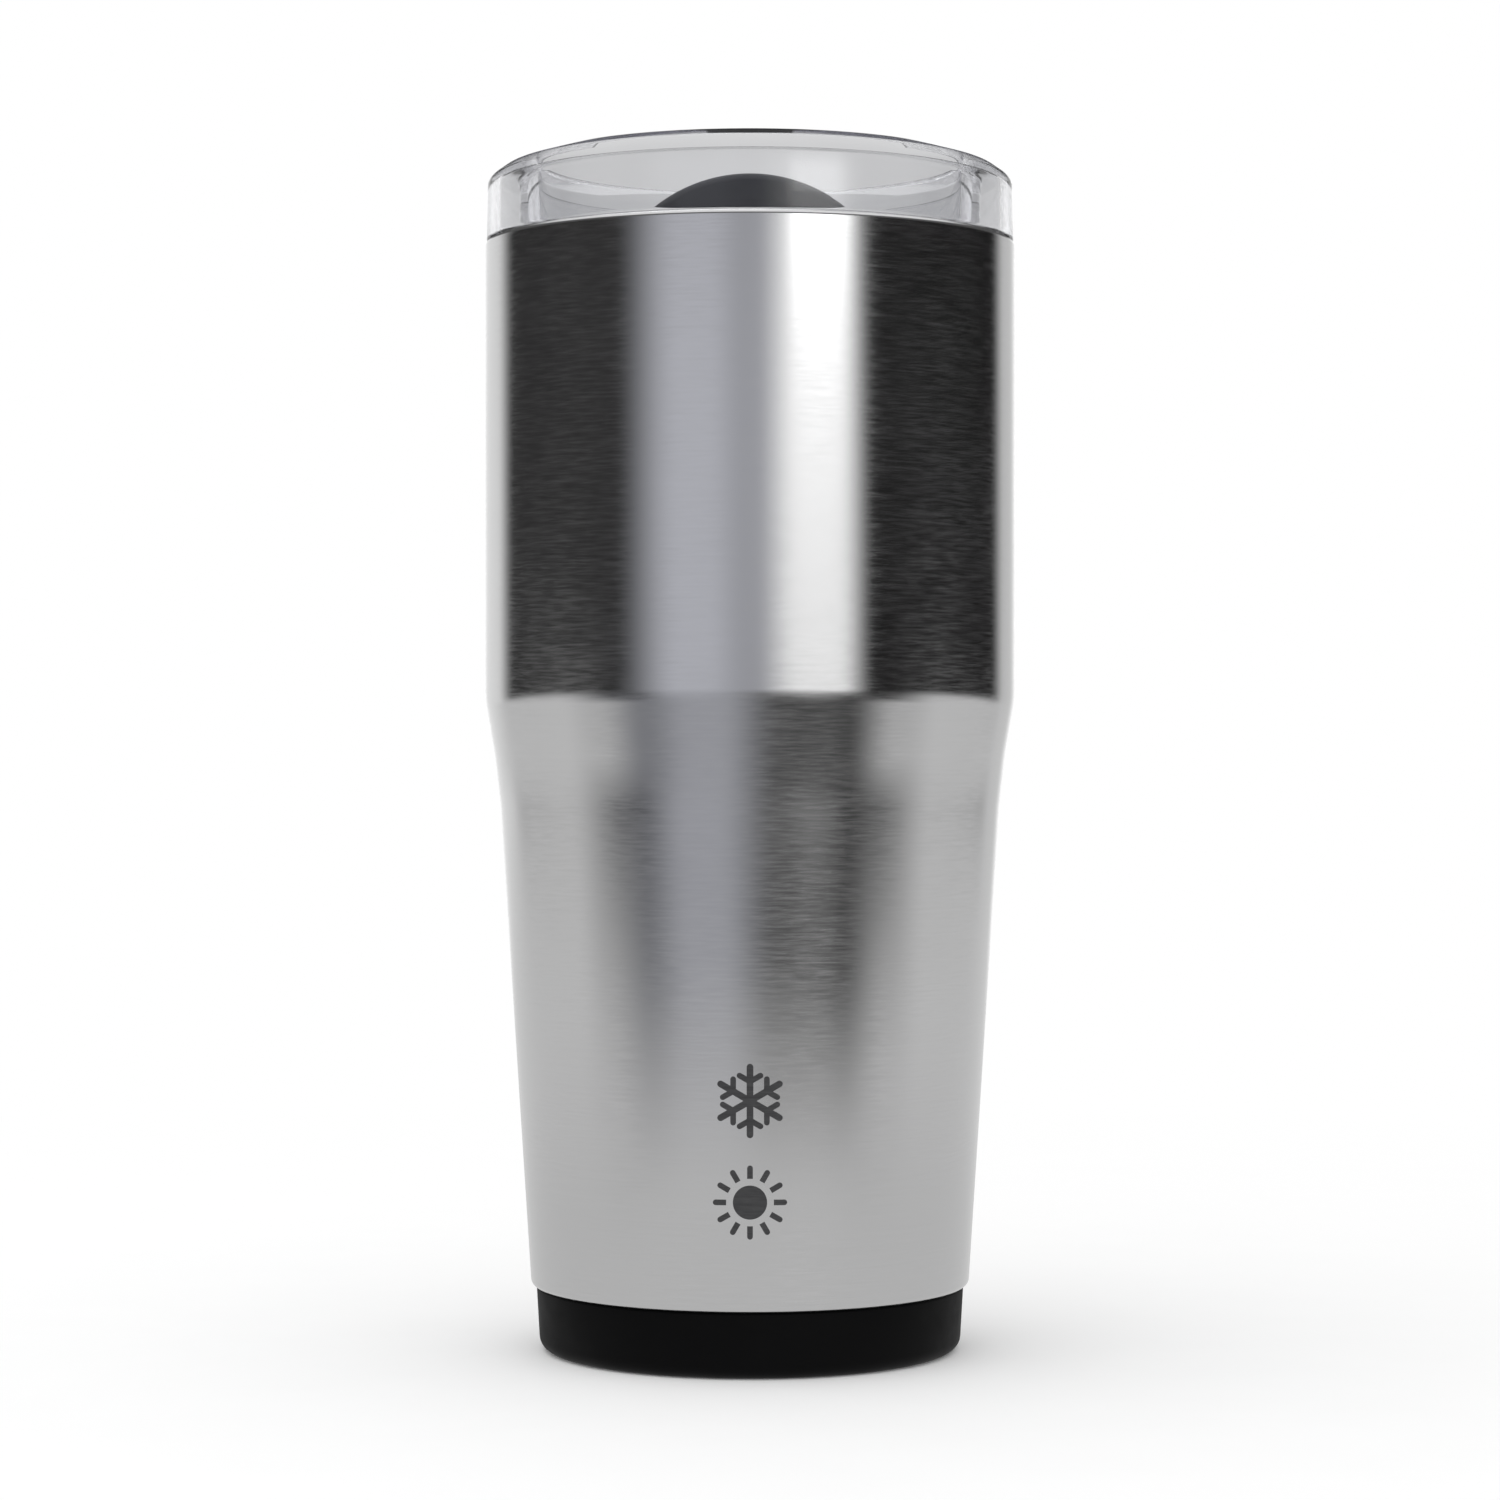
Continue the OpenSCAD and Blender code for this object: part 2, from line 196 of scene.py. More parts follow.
def prism(points, low, high):
    """A bmesh of a flat outline between two heights."""
    bm = bmesh.new()
    bottom = [bm.verts.new((p[0], p[1], low)) for p in points]
    top = [bm.verts.new((p[0], p[1], high)) for p in points]
    bm.faces.new(reversed(bottom))
    bm.faces.new(top)
    for i in range(len(points)):
        j = (i + 1) % len(points)
        bm.faces.new((bottom[i], bottom[j], top[j], top[i]))
    bmesh.ops.recalc_face_normals(bm, faces=bm.faces)
    return bm


def round_outline(centre, r, count=48):
    """A circle. Its corners miss the edges of a spun piece, so that cuts stay clean."""
    return [centre + towards(2 * math.pi * (k + 0.5) / count, r) for k in range(count)]


def slot_outline(inner_r, width, arc, at, count=24):
    """A curved slot with round ends, centred on the direction at."""
    first, last = at - arc / 2, at + arc / 2
    mid_r = inner_r + width / 2
    points = []
    for k in range(count + 1):
        points.append(towards(first + arc * k / count, inner_r + width))
    for k in range(1, count):
        points.append(towards(last, mid_r) + towards(last + math.pi * k / count, width / 2))
    for k in range(count + 1):
        points.append(towards(last - arc * k / count, inner_r))
    for k in range(1, count):
        points.append(towards(first, mid_r) + towards(first + math.pi * (1 + k / count), width / 2))
    return points


def combined(piece, bm, operation):
    """Cuts a bmesh out of a piece, or joins it on."""
    tool = placed("tool", mesh_of("tool", bm))
    modifier = piece.modifiers.new("tool", "BOOLEAN")
    modifier.operation = operation
    modifier.solver = "EXACT"
    modifier.object = tool
    bpy.context.view_layer.update()
    graph = bpy.context.evaluated_depsgraph_get()
    made = bpy.data.meshes.new_from_object(piece.evaluated_get(graph))
    piece.modifiers.clear()
    piece.data = made
    bpy.data.objects.remove(tool)
    smooth(piece)


# ---------------------------------------------------------------------------------------------
# The mark on the front: an ice crystal over a sun, for cold and hot drinks

MARK_R = 6.4 * MM
MARK_PROUD, MARK_SUNK = 0.012 * MM, 0.06 * MM
CRYSTAL_Z, SUN_Z = 48.5 * MM, 31 * MM
STROKE_W = 1.15 * MM
THIN_W = 0.85 * STROKE_W                        # of branches and rays
FORK_AT_R, BRANCH_LENGTH = 0.52 * MARK_R, 0.4 * MARK_R
SUN_R, RAY_FROM_R, RAY_LENGTH = 0.46 * MARK_R, 0.64 * MARK_R, 0.36 * MARK_R
CAP_STEPS = 8                                   # sides of a stroke's round end
BENDS = 26                                      # strips across the mark that follow the round wall


def stroke(start, angle, length, width=STROKE_W):
    """The flat outline of a bar with a round far end."""
    along, across = towards(angle), towards(angle + math.pi / 2, width / 2)
    end = start + along * (length - width / 2)
    turns = [angle - math.pi / 2 + math.pi * k / CAP_STEPS for k in range(CAP_STEPS + 1)]
    return [start + across, start - across] + [end + towards(turn, width / 2) for turn in turns]


def crystal(centre):
    """The strokes of an ice crystal with six arms and a pair of branches on each."""
    strokes = []
    for k in range(6):
        arm = math.radians(30 + 60 * k)
        fork = centre + towards(arm, FORK_AT_R)
        strokes.append(stroke(centre, arm, MARK_R))
        for side in (-1, 1):
            strokes.append(stroke(fork, arm + side * math.radians(60), BRANCH_LENGTH, THIN_W))
    return strokes


def sun(centre):
    """A disc and twelve rays."""
    rays = [math.radians(30 * k) for k in range(12)]
    return [round_outline(centre, SUN_R)] + [
        stroke(centre + towards(a, RAY_FROM_R), a, RAY_LENGTH, THIN_W) for a in rays
    ]


def wall_radius(z):
    """Radius of the outer face of the steel wall at a height."""
    run, _ = outline("outer_shell")
    crossings = [
        a[0] + (b[0] - a[0]) * (z - a[1]) / (b[1] - a[1])
        for a, b in zip(run, run[1:] + run[:1]) if (a[1] - z) * (b[1] - z) < 0
    ]
    return max(crossings)


def wrapped(piece):
    """Bends a flat piece, drawn in x across and y up, onto the front of the steel wall."""
    bm = bmesh.new()
    bm.from_mesh(piece.data)
    for k in range(1, BENDS):
        x = MARK_R * (2 * k / BENDS - 1)
        sliced(bm, (x, 0, 0), (1, 0, 0), dist=SAME_POINT)
    low_z, high_z = SUN_Z - MARK_R, CRYSTAL_Z + MARK_R
    low_r, high_r = wall_radius(low_z), wall_radius(high_z)
    for v in bm.verts:
        across, z, proud = v.co
        r = low_r + (high_r - low_r) * (z - low_z) / (high_z - low_z)
        v.co = (*towards(FRONT + across / r, r + proud), z)
    bm.to_mesh(piece.data)
    bm.free()
    smooth(piece)


def mark(material):
    """The etched mark, as one thin shell that stands a hair proud of the steel."""
    outlines = crystal(Vector((0, CRYSTAL_Z))) + sun(Vector((0, SUN_Z)))
    solids = [prism(points, -MARK_SUNK, MARK_PROUD) for points in outlines]
    piece = link("front_mark", solids[0], material, "tumbler")
    for solid in solids[1:]:
        combined(piece, solid, "UNION")
    wrapped(piece)


# ---------------------------------------------------------------------------------------------
# Shader nodes

class ShaderTree:
    """Short calls that add nodes to a shader's tree and join them."""

    def __init__(self, tree):
        self.tree = tree

    def node(self, kind, **fields):
        made = self.tree.nodes.new(kind)
        for field, value in fields.items():
            setattr(made, field, value)
        return made

    def feed(self, socket, source):
        self.tree.links.new(source, socket)

    def math(self, operation, a, b):
        made = self.node("ShaderNodeMath", operation=operation)
        for socket, value in zip(made.inputs, (a, b)):
            if isinstance(value, (int, float)):
                socket.default_value = value
            else:
                self.feed(socket, value)
        return made.outputs["Value"]

    def ranged(self, source, low, high, from_low=0.3, from_high=0.7):
        """Maps a source in from_low to from_high onto low to high. A noise mostly fills 0.3 to 0.7."""
        made = self.node("ShaderNodeMapRange")
        for socket, value in (
            ("From Min", from_low), ("From Max", from_high), ("To Min", low), ("To Max", high)
        ):
            made.inputs[socket].default_value = value
        self.feed(made.inputs["Value"], source)
        return made.outputs["Result"]

    def eased(self, source, low, high):
        """0 below low and 1 above high, with a soft start and a soft end."""
        made = self.node("ShaderNodeMapRange", interpolation_type="SMOOTHSTEP")
        made.inputs["From Min"].default_value = low
        made.inputs["From Max"].default_value = high
        self.feed(made.inputs["Value"], source)
        return made.outputs["Result"]

    def blended(self, factor, first, second, kind="MIX"):
        """Two colours, each a tuple or an output, blended by a factor that may go over 1."""
        made = self.node("ShaderNodeMix", data_type="RGBA", blend_type=kind, clamp_factor=False)
        colours = [s for s in made.inputs if s.type == "RGBA"]
        for socket, value in zip(colours, (first, second)):
            if isinstance(value, tuple):
                socket.default_value = (*value, 1.0)
            else:
                self.feed(socket, value)
        self.feed(made.inputs["Factor"], factor)
        return next(s for s in made.outputs if s.type == "RGBA")

    def mixed_shader(self, factor, first, second):
        made = self.node("ShaderNodeMixShader")
        self.feed(made.inputs["Fac"], factor)
        self.feed(made.inputs[1], first)
        self.feed(made.inputs[2], second)
        return made.outputs["Shader"]

    def after(self, kind):
        """1 for a ray with at least one bounce of a kind behind it, 0 for any other."""
        path = self.node("ShaderNodeLightPath")
        return self.math("GREATER_THAN", path.outputs[kind + " Depth"], 0.5)


class Finish(ShaderTree):
    """A material with one Principled shader, and short calls for what feeds it."""

    def __init__(self, name, **sockets):
        self.material = bpy.data.materials.new(name)
        self.material.use_nodes = True
        super().__init__(self.material.node_tree)
        self.shader = self.tree.nodes["Principled BSDF"]
        for socket, value in sockets.items():
            self.shader.inputs[socket.replace("_", " ")].default_value = value
        self.place = self.node("ShaderNodeTexCoord").outputs["Object"]

    def noise(self, per_metre, detail=3.0, rough=0.55):
        """Noise with this many blobs in a metre, the same every way or one count for each axis."""
        scale = per_metre if isinstance(per_metre, tuple) else (per_metre,) * 3
        mapping = self.node("ShaderNodeMapping")
        mapping.inputs["Scale"].default_value = scale
        self.feed(mapping.inputs["Vector"], self.place)
        texture = self.node("ShaderNodeTexNoise")
        texture.inputs["Scale"].default_value = 1.0
        texture.inputs["Detail"].default_value = detail
        texture.inputs["Roughness"].default_value = rough
        self.feed(texture.inputs["Vector"], mapping.outputs["Vector"])
        return texture.outputs["Fac"]

    def height_mask(self, low, high):
        """0 below low, 1 above high, in metres up the object."""
        split = self.node("ShaderNodeSeparateXYZ")
        self.feed(split.inputs["Vector"], self.place)
        return self.ranged(split.outputs["Z"], 0.0, 1.0, low, high)

    def mottled(self, noise, first, second):
        """A colour that goes between two with a noise."""
        return self.blended(self.ranged(noise, 0, 1), first, second)

    def colour(self, source):
        self.feed(self.shader.inputs["Base Color"], source)

    def roughness(self, source):
        self.feed(self.shader.inputs["Roughness"], source)

    def bump(self, height, distance, strength):
        made = self.node("ShaderNodeBump")
        made.inputs["Strength"].default_value = strength
        made.inputs["Distance"].default_value = distance
        self.feed(made.inputs["Height"], height)
        self.feed(self.shader.inputs["Normal"], made.outputs["Normal"])

    def brushed_round(self):
        """Draws the highlight out across brushing that runs round the axis."""
        tangent = self.node("ShaderNodeTangent", direction_type="RADIAL", axis="Z")
        self.feed(self.shader.inputs["Tangent"], tangent.outputs["Tangent"])


# ---------------------------------------------------------------------------------------------
# Materials. Colours are linear, and a bump's first number is how deep it goes.

def scaled(tone, by):
    return tuple(c * by for c in tone)


STEEL_TONE, STEEL_ROUGH = (0.61, 0.61, 0.612), 0.16
BRUSHING = (200, 200, 2700)                     # blobs in a metre of the noise that draws the lines


def brushed_steel():
    """Steel brushed round the axis: fine level lines with a faint unevenness over them."""
    f = Finish("brushed_steel", Metallic=1.0, Anisotropic=0.35, Anisotropic_Rotation=0.25)
    f.brushed_round()
    fine = f.noise((45, 45, 9000), detail=4)
    coarse = f.noise(BRUSHING, rough=0.65)
    lines = f.math("ADD", f.math("MULTIPLY", fine, 0.4), f.math("MULTIPLY", coarse, 0.6))
    smudge = f.noise((45, 45, 30), detail=2)
    f.colour(f.mottled(lines, scaled(STEEL_TONE, 0.97), scaled(STEEL_TONE, 1.025)))
    uneven = f.math("MULTIPLY", f.ranged(smudge, -1, 1), 0.015)
    drawn = f.ranged(coarse, STEEL_ROUGH - 0.034, STEEL_ROUGH + 0.038, 0.35, 0.65)
    f.roughness(f.math("ADD", drawn, uneven))
    f.bump(lines, 0.0012 * MM, 0.5)
    return f.material


def plain_steel(name, tone, rough):
    """Pressed sheet with a faint mill grain and small stains."""
    f = Finish(name, Metallic=1.0)
    grain = f.noise((2600, 260, 260), detail=4)
    stain = f.noise(140)
    f.colour(f.mottled(stain, scaled(tone, 0.86), tone))
    f.roughness(f.ranged(grain, rough - 0.06, rough + 0.1))
    f.bump(grain, 0.003 * MM, 0.5)
    return f.material


def liner_steel():
    """The drink side: satin and finely brushed, turning to a bright polished lip at the top."""
    f = Finish("liner_steel", Metallic=1.0, Anisotropic=0.45, Anisotropic_Rotation=0.25)
    f.brushed_round()
    lines = f.noise((20, 20, 3600), detail=4)
    polished = f.height_mask(RIM_Z - 1.2 * MM, RIM_Z + 0.1 * MM)
    satin = f.mottled(lines, (0.69, 0.69, 0.7), (0.78, 0.78, 0.785))
    f.colour(f.blended(polished, satin, (0.66, 0.66, 0.665)))
    duller = f.math("MULTIPLY", f.math("SUBTRACT", 1.0, polished), 0.22)
    f.roughness(f.math("ADD", f.ranged(lines, 0.14, 0.2), duller))
    f.bump(lines, 0.003 * MM, 0.4)
    return f.material


def etched():
    """Steel darkened by a laser: matt, charcoal, with the brushing still showing through."""
    f = Finish("etched_mark", Metallic=0.6)
    lines = f.noise(BRUSHING, rough=0.65)
    cloud = f.noise(500, detail=2)
    f.colour(f.mottled(lines, (0.05, 0.05, 0.052), (0.078, 0.078, 0.08)))
    f.roughness(f.ranged(cloud, 0.5, 0.62))
    f.bump(lines, 0.002 * MM, 0.5)
    return f.material


def silicone(name, tone, rough, dust):
    """Moulded silicone: a fine matt skin, a little dust, and paler where the boot meets the table."""
    f = Finish(name, Sheen_Weight=0.006, Sheen_Roughness=0.5, IOR=1.41, Specular_IOR_Level=0.1)
    skin = f.noise(5200)
    cloud = f.noise((120, 120, 160), detail=4)
    worn = f.math("SUBTRACT", 1.0, f.height_mask(0.1 * MM, 1.4 * MM))
    dusty = f.math("MULTIPLY", f.ranged(cloud, 0.0, 1.0, 0.45, 0.75), dust)
    paler = f.math("MAXIMUM", dusty, f.math("MULTIPLY", worn, dust))
    f.colour(f.blended(paler, tone, tuple(0.5 * c + 0.12 for c in tone)))
    f.roughness(f.ranged(cloud, rough - 0.05, rough + 0.07))
    f.bump(skin, 0.012 * MM, 0.5)
    return f.material


# The lid's walls are thin sheets that light crosses almost straight, so the plastic under the
# gloss coat bends light very little. The coat has the real index.
SHEET_IOR, COAT_IOR = 1.055, 1.54
PAINTED_EDGE_SHADE = (0.06, 0.06, 0.085)                 # painted shade on clear walls seen nearly edge on, in place of their dark reflections
EDGE_FROM, EDGE_TO = 0.76, 0.87                 # how far a wall turns away as the painted shade starts and is full
# Heights between which the painted edge shade grows to full, at the crest of the lid
PAINTED_SHADE_FROM_Z, PAINTED_SHADE_TO_Z = CREST_Z - 3.4 * MM, CREST_Z - 2.2 * MM
PAINTED_SHADE_BELOW = 0.3                                # share of the painted shade that is left below those heights
PASSED_TONE = (0.3, 0.305, 0.35)                # tone that light takes on inside the plastic
ABSORBED_PER_METRE = 14


def clear_plastic():
    """The lid: clear and polished, faintly grey, with hairline scratches, a soft unevenness, and painted
    shade on walls seen nearly edge on, most at the crest.
    """
    f = Finish(
        "clear_plastic", IOR=SHEET_IOR, Transmission_Weight=1.0,
        Coat_Weight=0.4, Coat_IOR=COAT_IOR, Coat_Roughness=0.03,
    )
    scratch = f.noise((2400, 180, 900), detail=5, rough=0.7)
    flow = f.noise((60, 60, 40), detail=2)
    clear = f.mottled(flow, (0.92, 0.922, 0.93), (0.945, 0.947, 0.955))
    grazing = f.ranged(f.node("ShaderNodeLayerWeight").outputs["Facing"], 0, 1, EDGE_FROM, EDGE_TO)
    crest = f.ranged(f.height_mask(PAINTED_SHADE_FROM_Z, PAINTED_SHADE_TO_Z), PAINTED_SHADE_BELOW, 1, 0, 1)
    # Painted shade: walls seen nearly edge on are darkened in the colour, most at the crest, in place of
    # the dark reflections clear plastic shows along its edges
    f.colour(f.blended(f.math("MULTIPLY", grazing, crest), clear, PAINTED_EDGE_SHADE))
    f.roughness(f.ranged(scratch, 0.015, 0.05, 0.5, 0.8))
    f.bump(flow, 0.03 * MM, 0.25)
    inside = f.node("ShaderNodeVolumeAbsorption")
    inside.inputs["Color"].default_value = (*PASSED_TONE, 1.0)
    inside.inputs["Density"].default_value = ABSORBED_PER_METRE
    f.feed(f.tree.nodes["Material Output"].inputs["Volume"], inside.outputs["Volume"])
    return f.material


def dark_plastic():
    """The dial: charcoal, moulded with a fine satin texture and polished by fingers along the grip."""
    f = Finish("dark_plastic", IOR=1.5, Specular_IOR_Level=0.25)
    skin = f.noise(4200)
    cloud = f.noise(90)
    rubbed = f.height_mask(CREST_Z - 6 * MM, CREST_Z - 2 * MM)
    f.colour(f.mottled(cloud, (0.014, 0.0145, 0.019), (0.022, 0.023, 0.028)))
    f.roughness(f.math("SUBTRACT", f.ranged(skin, 0.3, 0.38), f.math("MULTIPLY", rubbed, 0.1)))
    f.bump(skin, 0.008 * MM, 0.5)
    return f.material


def soft_clear():
    """The gasket: milky, translucent silicone."""
    f = Finish("clear_silicone", IOR=1.41, Transmission_Weight=0.6)
    skin = f.noise(3000)
    cloud = f.noise(150)
    f.colour(f.mottled(cloud, (0.8, 0.8, 0.81), (0.88, 0.88, 0.89)))
    f.roughness(f.ranged(skin, 0.32, 0.45))
    f.bump(skin, 0.008 * MM, 0.5)
    return f.material


def copper():
    """Thin foil with small creases from wrapping."""
    f = Finish("copper", Metallic=1.0)
    crease = f.noise((170, 170, 60), detail=5, rough=0.65)
    tarnish = f.noise(50)
    f.colour(f.mottled(tarnish, (0.78, 0.42, 0.28), (0.9, 0.56, 0.4)))
    f.roughness(f.ranged(crease, 0.2, 0.36))
    f.bump(crease, 0.12 * MM, 0.6)
    return f.material


def grainy(name, dark, light, rough, per_metre, depth):
    """A fine, uneven finish for small hidden pieces."""
    f = Finish(name)
    grain = f.noise(per_metre, detail=4)
    f.colour(f.mottled(grain, dark, light))
    f.roughness(f.ranged(grain, rough - 0.07, rough + 0.07))
    f.bump(grain, depth, 0.6)
    return f.material


# ---------------------------------------------------------------------------------------------
# Pieces

def repaint(node, material):
    """Gives a CAD node its finished material."""
    mesh = NODES[node].data
    mesh.materials.clear()
    mesh.materials.append(material)


def body_pieces():
    steel = brushed_steel()
    inside = liner_steel()
    black = silicone("black_silicone", (0.0016, 0.0016, 0.0018), 0.56, 0.008)
    sheet = plain_steel("plain_steel", (0.55, 0.55, 0.56), 0.3)
    respun("steel_wall", "outer_shell", steel, "tumbler")
    respun("cup_liner", "inner_liner", inside, "tumbler")
    respun("cup_floor", "liner_bottom", inside, "tumbler")
    respun("boot", "silicone_boot", black, "tumbler")
    respun("foil_wrap", "copper_foil", copper(), "tumbler")
    respun("steel_base", "outer_base", sheet, "tumbler")
    mark(etched())
    repaint("getter_holder", sheet)
    repaint("port_cover", sheet)
    powder = grainy("getter", (0.09, 0.09, 0.09), (0.16, 0.15, 0.15), 0.8, 4000, 0.03 * MM)
    repaint("getter_pellet", powder)
    glass = grainy("solder_glass", (0.03, 0.04, 0.045), (0.07, 0.08, 0.085), 0.18, 900, 0.02 * MM)
    repaint("port_solder", glass)
    glue = grainy("adhesive", (0.6, 0.52, 0.33), (0.74, 0.66, 0.44), 0.5, 1200, 0.03 * MM)
    repaint("boot_adhesive", glue)


def lid_pieces():
    lid = respun("clear_lid", "lid_body", clear_plastic(), "lid")
    sip = slot_outline(SIP_INNER_R, SIP_W, SIP_ARC, SIP_AT)
    straw = round_outline(towards(STRAW_AT, STRAW_AT_R), STRAW_R)
    vent = round_outline(towards(VENT_AT, VENT_AT_R), VENT_R)
    for hole in (sip, straw, vent):
        combined(lid, prism(hole, CUT_FROM_Z, CUT_TO_Z), "DIFFERENCE")
    for side in (-1, 1):
        combined(lid, dial_stop(side * STOP_AT), "UNION")
    respun("gasket", "lid_gasket", soft_clear(), "lid")


def dial_stop(at):
    """The small block in the lid's recess that the dial's lug meets."""
    along, across = towards(at), towards(at + math.pi / 2)
    half = STOP_W / 2
    corners = [
        along * STOP_INNER_R - across * half, along * STOP_OUTER_R - across * half,
        along * STOP_OUTER_R + across * half, along * STOP_INNER_R + across * half,
    ]
    return prism(corners, DECK_Z - STOP_SUNK, DISC_Z)


def dial_pieces():
    repaint("dial", dark_plastic())
    repaint("dial_seal", silicone("grey_silicone", (0.16, 0.16, 0.165), 0.55, 0.0))
    repaint("pivot_o_ring", silicone("o_ring_rubber", (0.012, 0.012, 0.012), 0.5, 0.0))
    white = grainy("white_plastic", (0.74, 0.72, 0.66), (0.82, 0.8, 0.75), 0.45, 1500, 0.01 * MM)
    repaint("thrust_washer", white)
    repaint("retaining_clip", plain_steel("clip_steel", (0.6, 0.6, 0.6), 0.26))


# ---------------------------------------------------------------------------------------------
# Studio

# The camera, fitted to the curves of the rim and the foot in the photograph
CAMERA_DISTANCE = 14.556 * WALL_R
CAMERA_Z = 2.2604 * WALL_R
LENS_MM, SENSOR_MM = 92.2, 36.0

# The studio as polished surfaces mirror it. Each row is a stretch of directions, in degrees from the
# camera and + to the right, and its brightness. Brightness goes over softly from one to the next.
PANELS = (
    (-180, -174, 1.2),      # lamp behind the object
    (-160, -141, 0.9),      # white side wall
    (-123, -60, 0.025),     # black flag
    (-30, -18, 0.68),       # grey wall behind the camera
    (-2, 2, 0.5),           # the same wall, dimmer
    (20, 38, 1.36),         # strip lamp
    (54, 128, 0.005),       # black flag
    (143, 153, 0.68),       # white side wall
    (174, 180, 1.2),        # lamp behind the object
)
# The far floor with the feet of those panels, and the floor nearer by
FAR_FEET = (
    (-180, -90, 0.74), (-59, -52, 0.09), (-30, -16, 0.49), (11, 18, 0.17),
    (27, 30, 0.27), (46, 59, 0.04), (91, 180, 0.74),
)
NEAR_FEET = (
    (-180, -70, 0.78), (-47, -45, 0.3), (-26, -14, 0.46), (14, 44, 0.075), (69, 180, 0.78),
)
# The hot top of the strip lamp. From the photograph's camera only the lid is high enough to mirror it.
HOT_TOP = ((-180, 14, 0.0), (22, 36, 1.0), (48, 180, 0.0))
HOT_GAIN = 3.4                                  # brightness that it adds to the strip's
BRIGHTEST = 1.5                                 # no panel is brighter, so a ramp's 0 to 1 holds them all
DIM_TONE = 0.1                                  # upper wall, which the crown of the lid mirrors
CEILING_TONE = 1.0
WHITE, BLACK = 1.0, 0.0                         # the backdrop as the eye sees it, and no light
THROUGH_LID = 0.27                              # how much darker the backdrop is, seen through the lid
COOL, NEUTRAL = (0.965, 0.98, 1.065), (1.0, 1.0, 1.0)
COOL_FROM, COOL_TO = -60, 5                     # directions in which the studio is a little blue
# Heights of the changes between those layers, as the height of a direction of length 1
NEAR_FEET_UP_TO, FAR_FEET_FROM = -0.245, -0.158
LEVEL_FROM, LEVEL_TO = -0.1, -0.045
HOT_FROM, HOT_TO = 0.14, 0.147
DIM_FROM, DIM_TO = 0.2, 0.26
CEILING_FROM, CEILING_TO = 0.5, 0.7

FLOOR_HALF = 6.0                                # half of a side
FLOOR_GRID = 8                                  # squares along a side
FLOOR_TONE = 0.7                                # of the floor near the object, as it is mirrored
# The mirrored floor ends softly between these distances from the object's axis
FLOOR_EDGE_FROM, FLOOR_EDGE_TO = 0.15, 0.34
FLOOR_WHITE_AT = 0.48                           # distance at which the seen floor has turned white

SOFTBOX_AT, SOFTBOX_AIM = Vector((-0.22, -0.2, 0.95)), Vector((0, 0, 0.1))
SOFTBOX_WIDE, SOFTBOX_WATTS = 1.1, 2.4


def grey(brightness):
    """A brightness as a colour of the studio's background, whose strength is BRIGHTEST."""
    return (brightness / BRIGHTEST,) * 3


def ramp(n, around, panels):
    """Brightness by direction, as a colour ramp over 0 to 1 for one turn."""
    made = n.node("ShaderNodeValToRGB")
    made.color_ramp.interpolation = "EASE"
    stops = made.color_ramp.elements
    while len(stops) > 1:
        stops.remove(stops[-1])
    stops[0].position = 0.0
    edges = [(edge, brightness) for first, last, brightness in panels for edge in (first, last)]
    for i, (degrees, brightness) in enumerate(edges):
        stop = stops[0] if i == 0 else stops.new(degrees / 360 + 0.5)
        tint = COOL if COOL_FROM < degrees < COOL_TO else NEUTRAL
        stop.color = (*(g * t for g, t in zip(grey(brightness), tint)), 1.0)
    n.feed(made.inputs["Fac"], around)
    return made.outputs["Color"]


def mirrored_studio(n):
    """What polished surfaces mirror: layers that follow each other from the floor to the ceiling."""
    split = n.node("ShaderNodeSeparateXYZ")
    n.feed(split.inputs["Vector"], n.node("ShaderNodeTexCoord").outputs["Generated"])
    x, y, z = (split.outputs[axis] for axis in "XYZ")
    turn = n.math("ARCTAN2", x, n.math("MULTIPLY", y, -1.0))
    around = n.math("ADD", n.math("DIVIDE", turn, 2 * math.pi), 0.5)
    far = n.eased(z, NEAR_FEET_UP_TO, FAR_FEET_FROM)
    feet = n.blended(far, ramp(n, around, NEAR_FEET), ramp(n, around, FAR_FEET))
    walls = n.blended(n.eased(z, LEVEL_FROM, LEVEL_TO), feet, ramp(n, around, PANELS))
    hot = n.math("MULTIPLY", n.eased(z, HOT_FROM, HOT_TO), HOT_GAIN)
    walls = n.blended(hot, walls, ramp(n, around, HOT_TOP), "ADD")
    walls = n.blended(n.eased(z, DIM_FROM, DIM_TO), walls, grey(DIM_TONE))
    return n.blended(n.eased(z, CEILING_FROM, CEILING_TO), walls, grey(CEILING_TONE))


def studio():
    """White to the eye and to matt surfaces, darker through the lid, and panelled in a mirror."""
    world = bpy.data.worlds.new("studio")
    bpy.context.scene.world = world
    world.use_nodes = True
    n = ShaderTree(world.node_tree)
    n.tree.nodes.clear()
    dimmed = n.math("MULTIPLY", n.after("Transmission"), THROUGH_LID)
    seen = n.blended(dimmed, grey(WHITE), grey(BLACK))
    shine = n.node("ShaderNodeBackground")
    shine.inputs["Strength"].default_value = BRIGHTEST
    n.feed(shine.inputs["Color"], n.blended(n.after("Glossy"), seen, mirrored_studio(n)))
    n.feed(n.node("ShaderNodeOutputWorld").inputs["Surface"], shine.outputs["Background"])


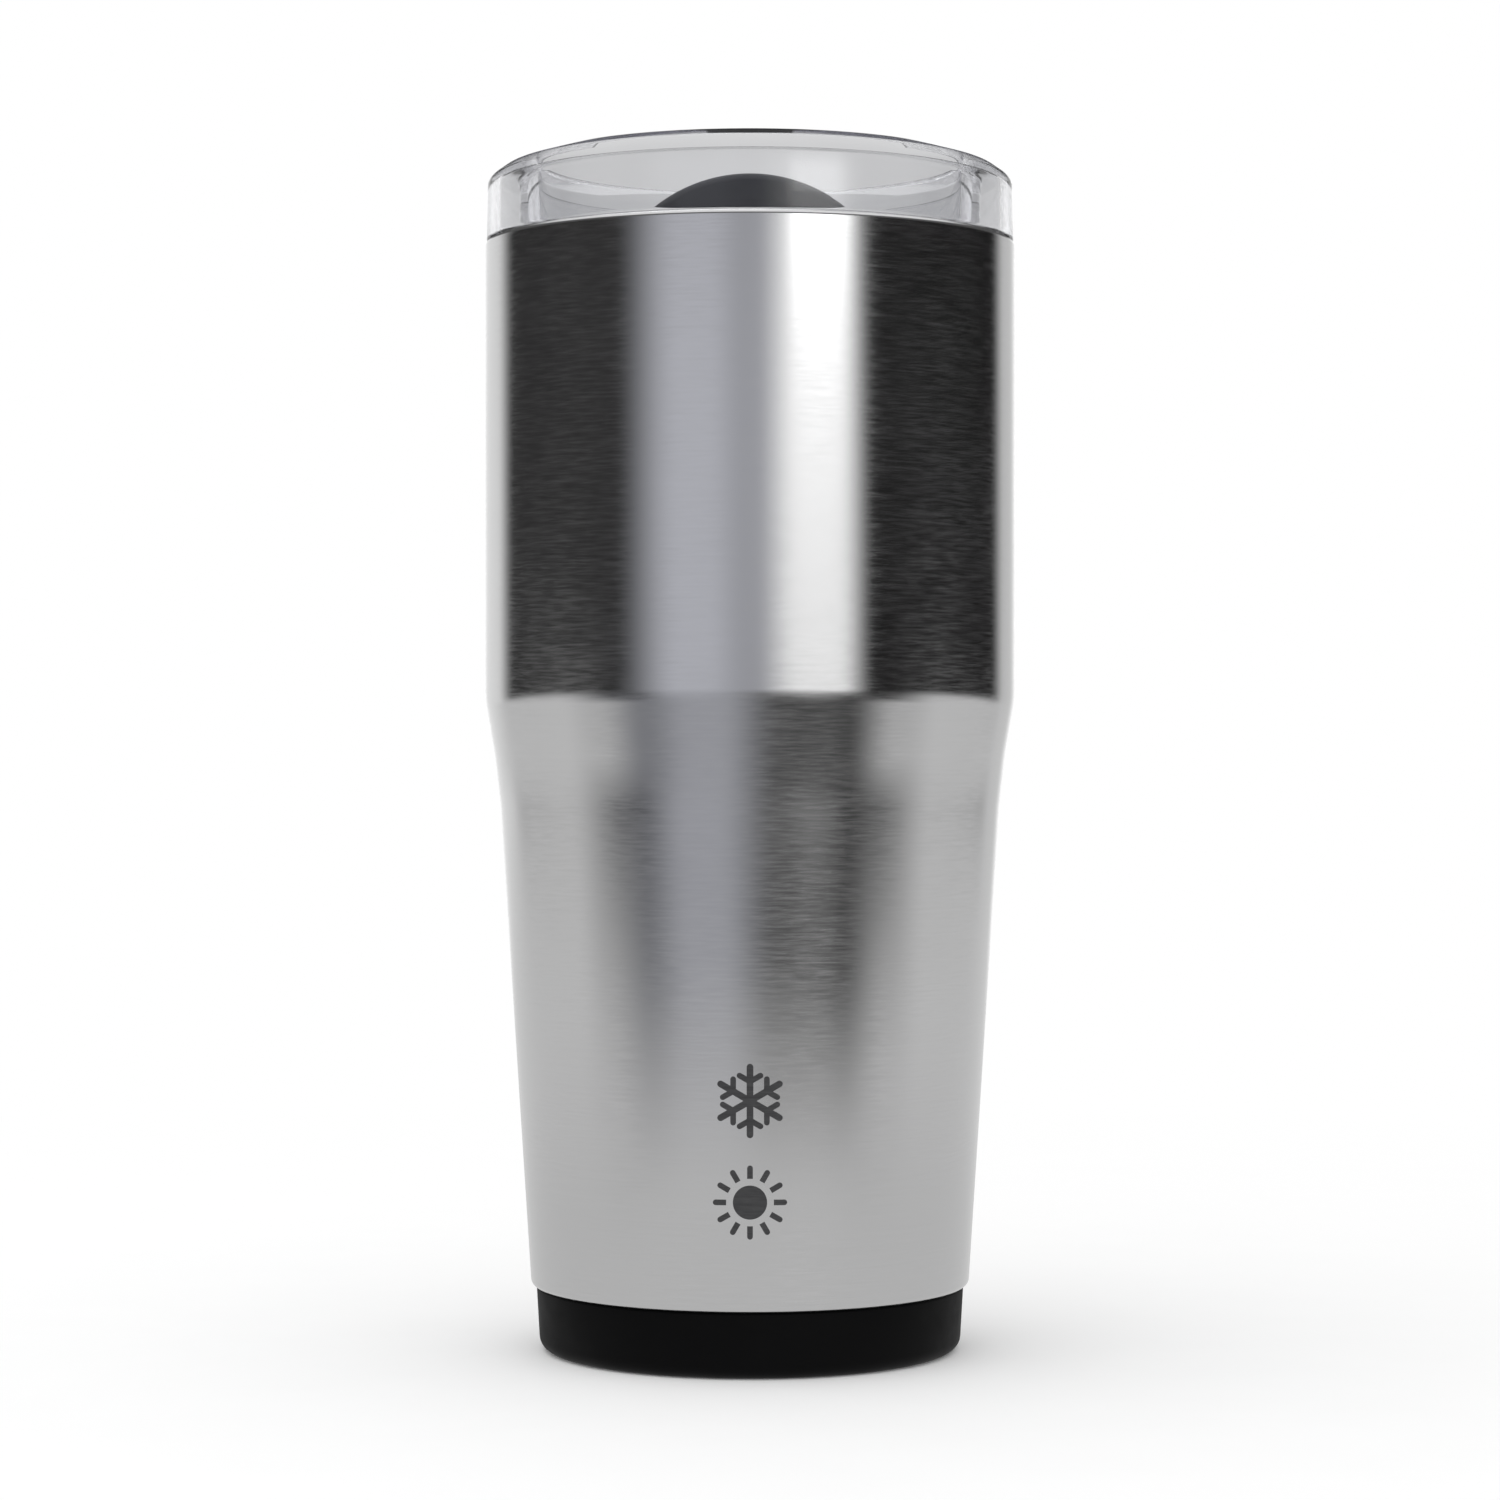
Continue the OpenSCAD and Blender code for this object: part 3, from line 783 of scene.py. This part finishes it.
def floor():
    """A pale floor that goes over into the white of the studio away from the object.

    Polished surfaces mirror it as an even tone near the object, and the studio's feet beyond that.
    """
    bm = bmesh.new()
    bmesh.ops.create_grid(bm, x_segments=FLOOR_GRID, y_segments=FLOOR_GRID, size=FLOOR_HALF)
    ground = placed("floor", mesh_of("floor", bm))
    f = Finish("pale_floor", Roughness=0.7, Specular_IOR_Level=0.1)
    f.colour(f.mottled(f.noise(40), (0.9, 0.9, 0.9), (0.91, 0.91, 0.91)))
    length = f.node("ShaderNodeVectorMath", operation="LENGTH")
    f.feed(length.inputs[0], f.place)
    distance = length.outputs["Value"]
    white = f.node("ShaderNodeEmission")
    fading = f.ranged(distance, 0.0, 1.0, 0.0, FLOOR_WHITE_AT)
    seen = f.mixed_shader(fading, f.shader.outputs["BSDF"], white.outputs["Emission"])
    tone = f.node("ShaderNodeEmission")
    tone.inputs["Strength"].default_value = FLOOR_TONE
    clear = f.node("ShaderNodeBsdfTransparent")
    edge = f.ranged(distance, 0.0, 1.0, FLOOR_EDGE_FROM, FLOOR_EDGE_TO)
    mirrored = f.mixed_shader(edge, tone.outputs["Emission"], clear.outputs["BSDF"])
    surface = f.mixed_shader(f.after("Glossy"), seen, mirrored)
    f.feed(f.tree.nodes["Material Output"].inputs["Surface"], surface)
    ground.data.materials.append(f.material)


def softbox():
    """One wide lamp overhead, for a soft shadow under the object. Polished surfaces don't mirror it."""
    lamp = bpy.data.lights.new("softbox", "AREA")
    lamp.shape = "DISK"
    lamp.size = SOFTBOX_WIDE
    lamp.energy = SOFTBOX_WATTS
    holder = placed("softbox", lamp)
    holder.location = SOFTBOX_AT
    holder.rotation_euler = (SOFTBOX_AIM - SOFTBOX_AT).to_track_quat("-Z", "Y").to_euler()
    holder.visible_glossy = False


def camera():
    """Level with the middle of the cup, straight in front of it."""
    lens = bpy.data.cameras.new("camera")
    lens.sensor_width = SENSOR_MM
    lens.lens = LENS_MM
    lens.clip_start, lens.clip_end = 0.01, 50
    view = placed("camera", lens)
    view.location = (0, -CAMERA_DISTANCE, CAMERA_Z)
    view.rotation_euler = (math.radians(90), 0, 0)
    bpy.context.scene.camera = view


camera()
studio()
softbox()
floor()
body_pieces()
lid_pieces()
dial_pieces()
bpy.context.scene.view_settings.view_transform = "Standard"
